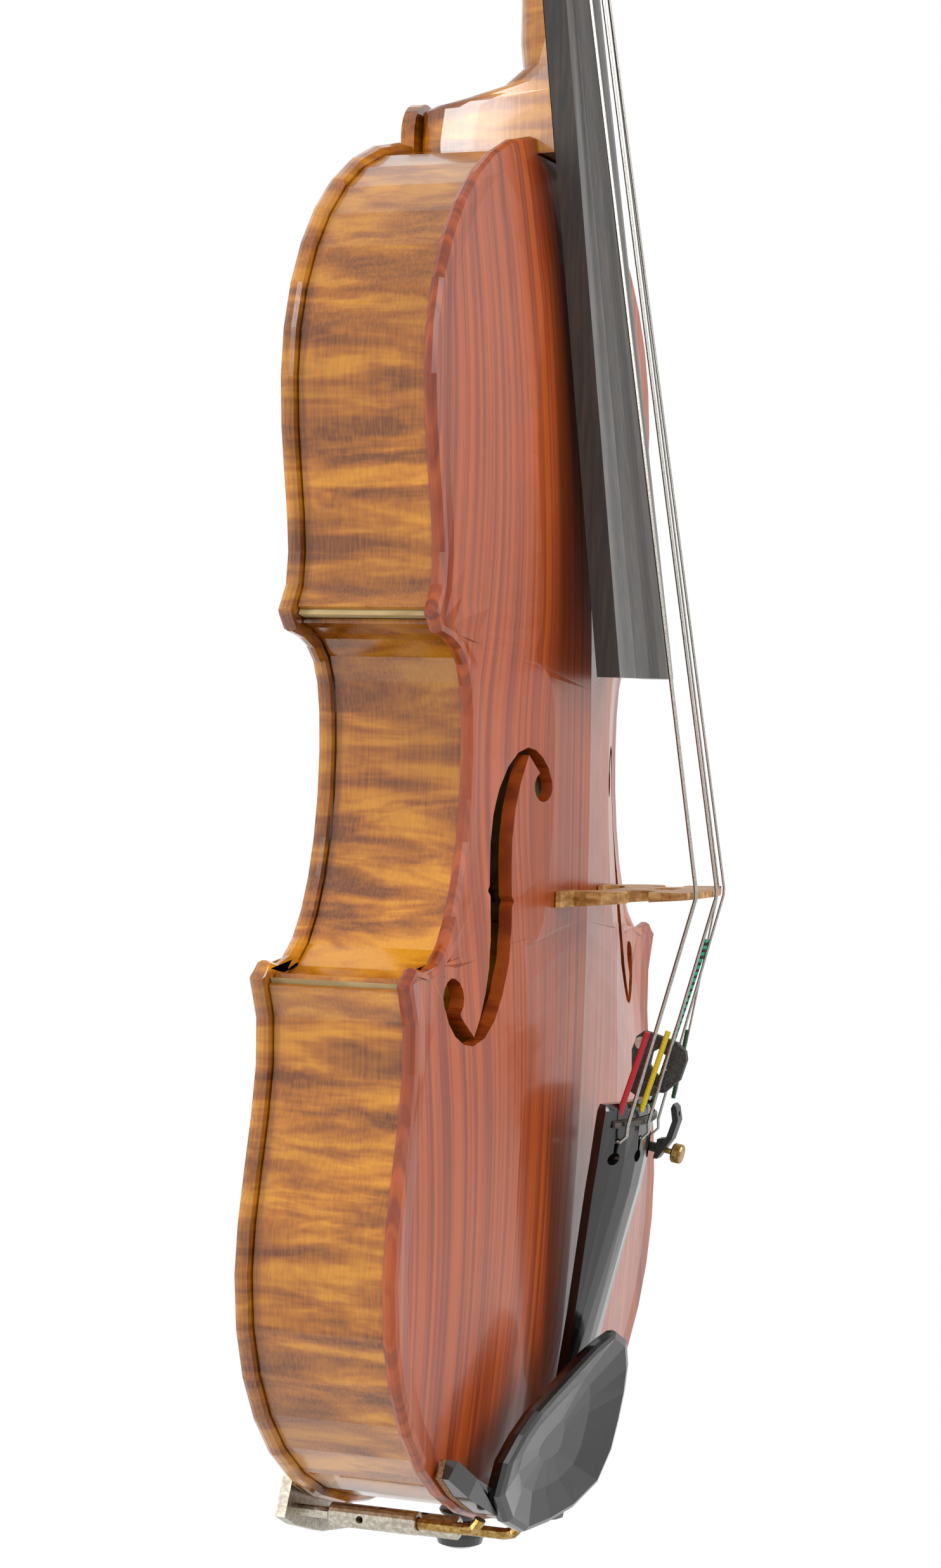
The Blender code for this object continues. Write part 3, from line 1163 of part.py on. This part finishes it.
def main():
    clear_scene()
    maple = material("varnished_maple", MAPLE, 0.25)
    spruce = material("bare_spruce", PALE_WOOD, 0.60)
    ebony = material("polished_ebony", EBONY, 0.35)
    nickel = material("nickel_plate", (0.62, 0.60, 0.55, 1.0), 0.30, 1.0)
    brass = material("worn_brass", (0.60, 0.42, 0.18, 1.0), 0.32, 1.0)
    cork = material("cork_sheet", (0.35, 0.20, 0.10, 1.0), 0.85)
    rubber = material("black_rubber", (0.020, 0.020, 0.020, 1.0), 0.70)

    top_plate = add_object("top_plate", plate_mesh(
        TOP_ARCH, lambda x, r, z: at(x, rib_height(z) + r, z)),
        material("varnished_spruce", SPRUCE, 0.25))
    back_plate = add_object("back_plate", plate_mesh(
        BACK_ARCH, lambda x, r, z: at(x, -r, z)), maple)
    top_tree = tree_of(top_plate)
    back_tree = tree_of(back_plate)
    for side in (-1, 1):
        boolean(top_plate, prism_mesh(sound_hole(side), level(0.0390), level(0.0700)),
                "DIFFERENCE", "MANIFOLD")
    centre = BODY_LENGTH + BUTTON_HEIGHT - BUTTON_WIDTH / 2
    lug = [(BUTTON_WIDTH / 2 * math.cos(a), centre + BUTTON_WIDTH / 2 * math.sin(a))
           for a in (math.pi * k / 12 for k in range(13))]
    lug += [(-BUTTON_WIDTH / 2, BODY_LENGTH - 0.0070), (BUTTON_WIDTH / 2, BODY_LENGTH - 0.0070)]
    boolean(back_plate, prism_mesh(lug, level(-PLATE_EDGE + 0.00015), level(-0.00015)), "UNION")

    ribs = add_ribs(maple)
    blocks = add_blocks(spruce)
    add_linings(spruce)
    add_inside(top_tree, back_tree, spruce)
    for obj in (top_plate, blocks[0], ribs["upper", "bass"], ribs["upper", "treble"]):
        boolean(obj, loft_mesh(heel_rings(2 * SEAT_GAP)), "DIFFERENCE", "MANIFOLD")

    add_neck(maple)
    add_fingerboard(ebony)
    nut_rings = []
    for z, drop in ((NUT_AT + SEAT_GAP, 0.0006), (NUT_AT + 0.0010, 0.0), (NUT_AT + 0.0030, 0.0005),
                    (NUT_AT + 0.0046, 0.0022), (NUT_AT + 0.0056, 0.0046)):
        ring = [at(x, nut_top(x) - drop, z) for x in np.linspace(-0.0120, 0.0120, 9)]
        low = board_side(NUT_AT, False) + 0.0006
        nut_rings.append(ring + [at(0.0120, low, z), at(-0.0120, low, z)])
    add_object("nut", loft_mesh(nut_rings), ebony, 35)
    for k, (name, turn) in enumerate((("peg_c", 0.5), ("peg_a", -0.4), ("peg_g", 0.1), ("peg_d", 0.9))):
        add_peg(name, k, turn, ebony)
    add_bridge(top_tree, material("bridge_maple", (0.56, 0.36, 0.17, 1.0), 0.45))
    add_tailpiece(ebony, material("box_wood_fret", (0.020, 0.018, 0.017, 1.0), 0.40))
    steel = material("wound_steel", (0.45, 0.45, 0.45, 1.0), 0.30, 1.0)
    for k in range(4):
        points, radius = string_points(k, bridge_top_height)
        add_cord(STRINGS[k][0], points, radius, steel)
    add_tail_fittings(top_plate, ebony, material("nylon_gut", (0.05, 0.05, 0.05, 1.0), 0.5),
                      blocks, ribs)
    add_chinrest(ebony, cork, nickel, brass)
    add_mute(rubber, nickel)
    add_tuner(material("black_enamel", (0.015, 0.015, 0.015, 1.0), 0.45), brass, nickel)


main()
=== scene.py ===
import math

import bpy
from mathutils import Matrix, Vector


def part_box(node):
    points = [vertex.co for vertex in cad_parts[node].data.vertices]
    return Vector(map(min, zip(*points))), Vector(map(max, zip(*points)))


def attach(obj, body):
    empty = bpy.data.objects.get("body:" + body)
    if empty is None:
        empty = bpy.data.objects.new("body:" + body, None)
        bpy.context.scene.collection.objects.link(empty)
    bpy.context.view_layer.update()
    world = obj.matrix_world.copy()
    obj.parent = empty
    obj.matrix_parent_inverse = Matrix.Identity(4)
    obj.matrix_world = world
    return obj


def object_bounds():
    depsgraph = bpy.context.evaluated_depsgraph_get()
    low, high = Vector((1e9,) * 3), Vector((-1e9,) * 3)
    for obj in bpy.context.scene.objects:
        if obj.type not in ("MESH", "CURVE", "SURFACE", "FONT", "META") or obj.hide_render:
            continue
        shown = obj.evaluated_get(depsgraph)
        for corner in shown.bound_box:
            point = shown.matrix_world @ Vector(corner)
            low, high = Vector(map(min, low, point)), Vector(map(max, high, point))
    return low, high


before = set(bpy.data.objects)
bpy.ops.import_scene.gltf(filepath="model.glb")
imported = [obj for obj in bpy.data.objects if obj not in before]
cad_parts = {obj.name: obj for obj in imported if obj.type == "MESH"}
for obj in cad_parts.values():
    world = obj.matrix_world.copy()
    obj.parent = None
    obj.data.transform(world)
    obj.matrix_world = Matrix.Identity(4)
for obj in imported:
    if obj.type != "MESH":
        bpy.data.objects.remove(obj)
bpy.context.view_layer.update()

# Camera place in metres, its turns, and its lens and sensor in millimetres
CAMERA_PLACE = (-0.8830, -0.3324, -0.2990)
CAMERA_YAW = math.radians(-69.31)
CAMERA_PITCH = math.radians(-1.57)
CAMERA_ROLL = math.radians(1.13)
LENS = 72.11
SENSOR_HEIGHT = 36.0

# Grain and flame sizes, in metres
FLAME = 0.0042
FIGURE_DRIFT = 0.0450
SPRUCE_RING = 0.0011
EBONY_PORE = 0.0009

# Shares of a colour laid over another, and the bump's strength
FIGURE_SHARE = 0.55
FIBRE_SHARE = 0.18
DRIFT_SHARE = 0.35
BUMP_STRENGTH = 0.35

# Patches of wear that change the gloss, per metre
WEAR = (90, 90, 90)
WEAR_DETAIL = 5.0

# Floor under the hanging viola: drop, rings as radius and height, and sides, in metres
HANG = 0.160
FLOOR_RINGS = ((0.20, 0.0), (0.42, 0.0), (0.446, -0.002), (0.45, -0.006))
FLOOR_SIDES = 64

# Brightness of the surroundings as light, and as the white that is seen
SKY_LIGHT = 0.42
SEEN_WHITE = 1.0

# Soft boxes: name, place, target, size and power in watts
VIOLA_MIDDLE = (0.0, 0.0, -0.30)
SOFT_BOXES = (("left_box", (-0.75, 0.75, -0.15), (-0.05, 0.0, -0.30), (0.25, 1.1), 9.0),
              ("front_box", (0.25, -1.20, 0.10), VIOLA_MIDDLE, (0.5, 1.2), 14.0),
              ("key_box", (-1.20, -0.60, 0.55), VIOLA_MIDDLE, (0.5, 0.7), 12.0))

# Silk mesh: sides round the string, rings along it, turns of thread and heights, in metres
SILK_SIDES = 12
SILK_STEP = 0.00025
RINGS_A_TURN = 4
THREAD_LIFT = 0.00004
SILK_START = 0.0015
ROW = 0.0020
BAND_SCALE = 160.0
BAND_WOBBLE = 0.4

# Silks: string, radius, length of the winding, colour and the colour that bands it
SILKS = (("string_c", 0.00088, 0.0260, "#b3202c", "#b3202c"),
         ("string_g", 0.00080, 0.0255, "#d9bd1c", "#d9bd1c"),
         ("string_d", 0.00072, 0.0530, "#1fae84", "#10201c"),
         ("string_a", 0.00064, 0.0210, "#123f1c", "#123f1c"))


def linear(colour):
    """sRGB hex to the linear values that a shader takes."""
    parts = [int(colour[k:k + 2], 16) / 255 for k in (1, 3, 5)]
    return [c / 12.92 if c <= 0.04045 else ((c + 0.055) / 1.055) ** 2.4 for c in parts] + [1.0]


def add(tree, kind, **values):
    """Adds a node; a value is a socket's number, or a link from another node."""
    node = tree.nodes.new(kind)
    for name, value in values.items():
        if name.startswith("set_"):
            setattr(node, name[4:], value)
            continue
        socket = node.inputs[name.replace("_", " ")]
        if isinstance(value, bpy.types.NodeSocket):
            tree.links.new(value, socket)
        else:
            socket.default_value = value
    return node


def ramp(tree, factor, stops):
    """Colours at their places along a factor."""
    node = add(tree, "ShaderNodeValToRGB", Fac=factor)
    while len(node.color_ramp.elements) < len(stops):
        node.color_ramp.elements.new(0.5)
    for element, (place, colour) in zip(node.color_ramp.elements, stops):
        element.position = place
        element.color = linear(colour)
    return node.outputs["Color"]


def noise(tree, scales, detail=4.0, rough=0.55, distortion=0.0):
    """Noise whose repeat along X, Y and Z is given by scales per metre."""
    place = add(tree, "ShaderNodeTexCoord").outputs["Object"]
    turned = add(tree, "ShaderNodeMapping", Vector=place, Scale=scales)
    node = add(tree, "ShaderNodeTexNoise", Vector=turned.outputs["Vector"], Scale=1.0,
               Detail=detail, Roughness=rough, Distortion=distortion)
    return node.outputs["Fac"]


def mix(tree, factor, first, second):
    """One colour over another, by a factor."""
    node = tree.nodes.new("ShaderNodeMix")
    node.data_type = "RGBA"
    for name, value in (("Factor", factor), ("A", first), ("B", second)):
        socket = [s for s in node.inputs if s.name == name and s.enabled][-1]
        if isinstance(value, bpy.types.NodeSocket):
            tree.links.new(value, socket)
        else:
            socket.default_value = value
    return [s for s in node.outputs if s.enabled][0]


def finish(name, colour, rough, bump=None, **extra):
    """A Principled material from a function that makes its colour socket."""
    made = bpy.data.materials.new(name)
    made.use_nodes = True
    tree = made.node_tree
    shader = tree.nodes["Principled BSDF"]
    tree.links.new(colour(tree), shader.inputs["Base Color"])
    grime = noise(tree, WEAR, WEAR_DETAIL)
    low, high = rough
    tree.links.new(add(tree, "ShaderNodeMapRange", Value=grime, To_Min=low, To_Max=high)
                   .outputs["Result"], shader.inputs["Roughness"])
    if bump:
        scales, depth = bump
        lift = add(tree, "ShaderNodeBump", Height=noise(tree, scales), Strength=BUMP_STRENGTH,
                   Distance=depth)
        tree.links.new(lift.outputs["Normal"], shader.inputs["Normal"])
    for key, value in extra.items():
        shader.inputs[key.replace("_", " ")].default_value = value
    return made


def flamed(dark, middle, light):
    """Maple whose flames run across the grain, with slow changes of strength."""
    def colour(tree):
        flames = noise(tree, (14, 26, 0.55 / FLAME), 3.0, 0.6, 0.35)
        drift = noise(tree, (9, 9, 1 / FIGURE_DRIFT), 2.0)
        fibre = noise(tree, (1600, 1600, 26), 3.0)
        base = ramp(tree, flames, ((0.36, dark), (0.50, middle), (0.62, light)))
        shaded = mix(tree, ramp(tree, drift, ((0.35, "#ffffff"), (0.65, "#000000"))),
                     base, linear(dark))
        soft = mix(tree, FIGURE_SHARE, base, shaded)
        return mix(tree, FIBRE_SHARE, soft, ramp(tree, fibre, ((0.3, dark), (0.7, light))))
    return colour


def spruce(dark, light, ring):
    """Quartered softwood: year rings side by side along the length."""
    def colour(tree):
        rings = noise(tree, (0.6 / ring, 60, 3.0), 2.0, 0.5)
        drift = noise(tree, (11, 11, 7), 3.0)
        lines = ramp(tree, rings, ((0.38, dark), (0.62, light)))
        return mix(tree, DRIFT_SHARE, lines, ramp(tree, drift, ((0.35, dark), (0.7, light))))
    return colour


def streaked(dark, light, scales):
    """Two tones in streaks or specks, whose repeats per metre are given."""
    def colour(tree):
        return ramp(tree, noise(tree, scales, 5.0, 0.6), ((0.42, dark), (0.75, light)))
    return colour


# Flamed maple under glossy amber varnish: dark flames across warm gold
maple = finish("amber_varnished_maple", flamed("#5c2606", "#a8600f", "#d9921f"), (0.10, 0.24),
               ((700, 700, 60), 0.00005), Coat_Weight=0.6, Coat_Roughness=0.06)

# Spruce under orange varnish: straight grain below a softer gloss
belly = finish("orange_varnished_spruce", spruce("#6a2206", "#a64a12", SPRUCE_RING),
               (0.24, 0.38), ((900, 60, 12), 0.00004), Coat_Weight=0.22, Coat_Roughness=0.10)

# Unvarnished spruce inside the body: pale and dull
bare = finish("bare_spruce", spruce("#8f7a52", "#b8a173", SPRUCE_RING), (0.55, 0.70),
              ((900, 60, 12), 0.00006))

# Waxed maple of the bridge: short brown flecks on pale gold
bridge_wood = finish("waxed_maple_bridge", streaked("#8a5a26", "#d8ac6a", (500, 90, 420)),
                     (0.38, 0.55), ((1200, 200, 900), 0.00005))

# Oiled ebony: nearly black, satin, with long brown streaks
board = finish("satin_ebony", streaked("#15120f", "#3a2c20", (1 / EBONY_PORE, 700, 18)),
               (0.30, 0.45), ((1400, 900, 30), 0.00004))

# Polished ebony: deep black gloss with grey dust
polished = finish("polished_ebony_with_dust", streaked("#050505", "#1b1918", (2400, 2400, 2400)),
                  (0.10, 0.24), None, Coat_Weight=0.5, Coat_Roughness=0.05)

# Moulded rubber: matt dark grey with dust in its skin
rubber = finish("dusty_black_rubber", streaked("#1d1c1b", "#4a4744", (1500, 1500, 1500)),
                (0.60, 0.80), ((2600, 2600, 2600), 0.00005))

# Black enamel on steel: half gloss with worn specks
enamel = finish("black_enamelled_steel", streaked("#0c0c0c", "#3c3a38", (1800, 1800, 1800)),
                (0.30, 0.50), ((2600, 2600, 2600), 0.00003))

# Nickel plate: bright warm grey, cloudy where it is worn
nickel = finish("worn_nickel_plate", streaked("#a59c8c", "#d8d2c6", (700, 700, 700)),
                (0.16, 0.38), None, Metallic=1.0)

# Tarnished brass: dull yellow with brown patches
brass = finish("tarnished_brass", streaked("#8a6a34", "#cdb074", (600, 600, 600)),
               (0.20, 0.42), None, Metallic=1.0)

# Cut cork sheet: brown grains, no gloss
cork = finish("cork_sheet", streaked("#5a3c22", "#b88a58", (1500, 1500, 1500)), (0.75, 0.90),
              ((1800, 1800, 1800), 0.00012))

# Drawn nylon cord: smooth and black
nylon = finish("black_nylon_cord", streaked("#0a0a0a", "#262626", (900, 900, 900)), (0.25, 0.40))

# Flat metal ribbon wound on the strings: fine rings of light along them
steel = finish("flat_wound_strings", streaked("#8c8882", "#cfcac2", (2000, 2000, 6000)),
               (0.20, 0.36), ((800, 800, 9000), 0.00002), Metallic=1.0)

LOOKS = {"top_plate": belly, "back_plate": maple, "neck_and_scroll": maple,
         "fingerboard": board, "nut": board, "tailpiece": polished, "tailpiece_fret": board,
         "bridge": bridge_wood, "saddle": board, "endpin": polished, "tailgut": nylon,
         "chinrest": polished, "mute": rubber, "mute_rivet": nickel, "tuner_bracket": enamel,
         "tuner_nut": nickel, "tuner_screw": brass, "clamp_foot": nickel}
STARTS = (("rib_", maple), ("peg_", polished), ("string_", steel), ("clamp_barrel", nickel),
          ("clamp_hook", brass), ("clamp_cork", cork), ("chinrest_cork", cork))


def look_of(name):
    """The finish of a CAD node; what has no other finish is bare spruce."""
    if name in LOOKS:
        return LOOKS[name]
    for start, look in STARTS:
        if name.startswith(start):
            return look
    return bare


for name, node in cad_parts.items():
    for place in node.material_slots:
        place.material = look_of(name)


def string_line(name):
    """Lowest and highest centre of a string's rings, up to just above the bridge."""
    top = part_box("bridge")[1].z + ROW
    rows = {}
    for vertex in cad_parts[name].data.vertices:
        if vertex.co.z < top:
            rows.setdefault(round(vertex.co.z / ROW), []).append(vertex.co)
    rings = [sum(row, Vector()) / len(row) for _, row in sorted(rows.items())]
    return rings[0], rings[-1]


def add_silk(name, radius, length, first, second):
    """Thread wound round a string, from just above the tailpiece's fret."""
    lower, upper = string_line(name)
    run = (upper - lower).normalized()
    side = run.orthogonal().normalized()
    other = run.cross(side)
    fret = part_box("tailpiece_fret")[1]
    start = lower + run * max(0.0, (fret.z + SILK_START - lower.z) / run.z)
    rings = int(length / SILK_STEP)
    corners = []
    for ring in range(rings + 1):
        for k in range(SILK_SIDES):
            angle = math.tau * k / SILK_SIDES
            lift = THREAD_LIFT * math.cos(angle + math.tau * ring / RINGS_A_TURN)
            out = side * math.cos(angle) + other * math.sin(angle)
            corners.append(start + run * ring * SILK_STEP + out * (radius + lift))
    faces = [(r * SILK_SIDES + k, r * SILK_SIDES + (k + 1) % SILK_SIDES,
              (r + 1) * SILK_SIDES + (k + 1) % SILK_SIDES, (r + 1) * SILK_SIDES + k)
             for r in range(rings) for k in range(SILK_SIDES)]
    faces.append(tuple(reversed(range(SILK_SIDES))))
    faces.append(tuple(range(rings * SILK_SIDES, (rings + 1) * SILK_SIDES)))
    mesh = bpy.data.meshes.new("silk_" + name)
    mesh.from_pydata(corners, [], faces)
    silk = bpy.data.objects.new("silk_" + name, mesh)
    bpy.context.scene.collection.objects.link(silk)

    def colour(tree):
        place = add(tree, "ShaderNodeTexCoord").outputs["Object"]
        waves = add(tree, "ShaderNodeTexWave", Vector=place, Scale=BAND_SCALE,
                    Distortion=BAND_WOBBLE, set_bands_direction="Z")
        return ramp(tree, waves.outputs["Fac"], ((0.45, first), (0.60, second)))

    mesh.materials.append(finish("silk_thread_" + name, colour, (0.55, 0.75),
                                 ((2000, 2000, 7000), 0.00008)))
    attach(silk, "viola")


for entry in SILKS:
    add_silk(*entry)


def add_floor():
    """Pale round floor with a rounded rim, some way below the hanging viola."""
    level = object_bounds()[0].z - HANG
    sides = FLOOR_SIDES
    corners = []
    for radius, height in FLOOR_RINGS:
        for k in range(sides):
            angle = math.tau * k / sides
            corners.append((radius * math.cos(angle), radius * math.sin(angle), level + height))
    corners.append((0.0, 0.0, level))
    faces = [(len(corners) - 1, k, (k + 1) % sides) for k in range(sides)]
    for ring in range(len(FLOOR_RINGS) - 1):
        inner = ring * sides
        outer = inner + sides
        for k in range(sides):
            after = (k + 1) % sides
            faces.append((inner + k, outer + k, outer + after, inner + after))
    mesh = bpy.data.meshes.new("floor")
    mesh.from_pydata(corners, [], faces)
    mesh.materials.append(finish("white_paper", streaked("#f2f2f2", "#fbfbfb", (40, 40, 40)),
                                 (0.80, 0.95)))
    floor = bpy.data.objects.new("floor", mesh)
    bpy.context.scene.collection.objects.link(floor)


add_floor()

# Studio: surroundings that are seen white, and light the viola less than that
scene = bpy.context.scene
scene.view_settings.view_transform = "Standard"
world = bpy.data.worlds.new("studio")
scene.world = world
world.use_nodes = True
tree = world.node_tree
tree.nodes.clear()
path = add(tree, "ShaderNodeLightPath")
soft = add(tree, "ShaderNodeBackground", Color=linear("#ffffff"), Strength=SKY_LIGHT)
plain = add(tree, "ShaderNodeBackground", Color=linear("#ffffff"), Strength=SEEN_WHITE)
seen = add(tree, "ShaderNodeMath", set_operation="MAXIMUM")
tree.links.new(path.outputs["Is Camera Ray"], seen.inputs[0])
tree.links.new(path.outputs["Is Transmission Ray"], seen.inputs[1])
shown = add(tree, "ShaderNodeMath", set_operation="MAXIMUM")
tree.links.new(seen.outputs[0], shown.inputs[0])
tree.links.new(path.outputs["Is Glossy Ray"], shown.inputs[1])
choice = add(tree, "ShaderNodeMixShader", Fac=shown.outputs[0])
tree.links.new(soft.outputs[0], choice.inputs[1])
tree.links.new(plain.outputs[0], choice.inputs[2])
add(tree, "ShaderNodeOutputWorld", Surface=choice.outputs[0])


def soft_box(name, place, target, size, power):
    """A rectangular lamp turned to its target."""
    light = bpy.data.lights.new(name, "AREA")
    light.shape = "RECTANGLE"
    light.size, light.size_y = size
    light.energy = power
    lamp = bpy.data.objects.new(name, light)
    lamp.location = place
    lamp.rotation_euler = (Vector(target) - Vector(place)).to_track_quat("-Z", "Y").to_euler()
    scene.collection.objects.link(lamp)


for box in SOFT_BOXES:
    soft_box(*box)

# Camera at the photograph's viewing angle, with its small roll
forward = Vector((-math.sin(CAMERA_YAW) * math.cos(CAMERA_PITCH),
                  math.cos(CAMERA_YAW) * math.cos(CAMERA_PITCH), math.sin(CAMERA_PITCH)))
right = forward.cross(Vector((0, 0, 1))).normalized()
up = right.cross(forward)
tilted_right = right * math.cos(CAMERA_ROLL) + up * math.sin(CAMERA_ROLL)
tilted_up = up * math.cos(CAMERA_ROLL) - right * math.sin(CAMERA_ROLL)
data = bpy.data.cameras.new("photo_camera")
data.sensor_fit = "VERTICAL"
data.sensor_height = SENSOR_HEIGHT
data.lens = LENS
camera = bpy.data.objects.new("photo_camera", data)
turn = Matrix((tilted_right, tilted_up, -forward)).transposed().to_4x4()
camera.matrix_world = Matrix.Translation(CAMERA_PLACE) @ turn
scene.collection.objects.link(camera)
scene.camera = camera
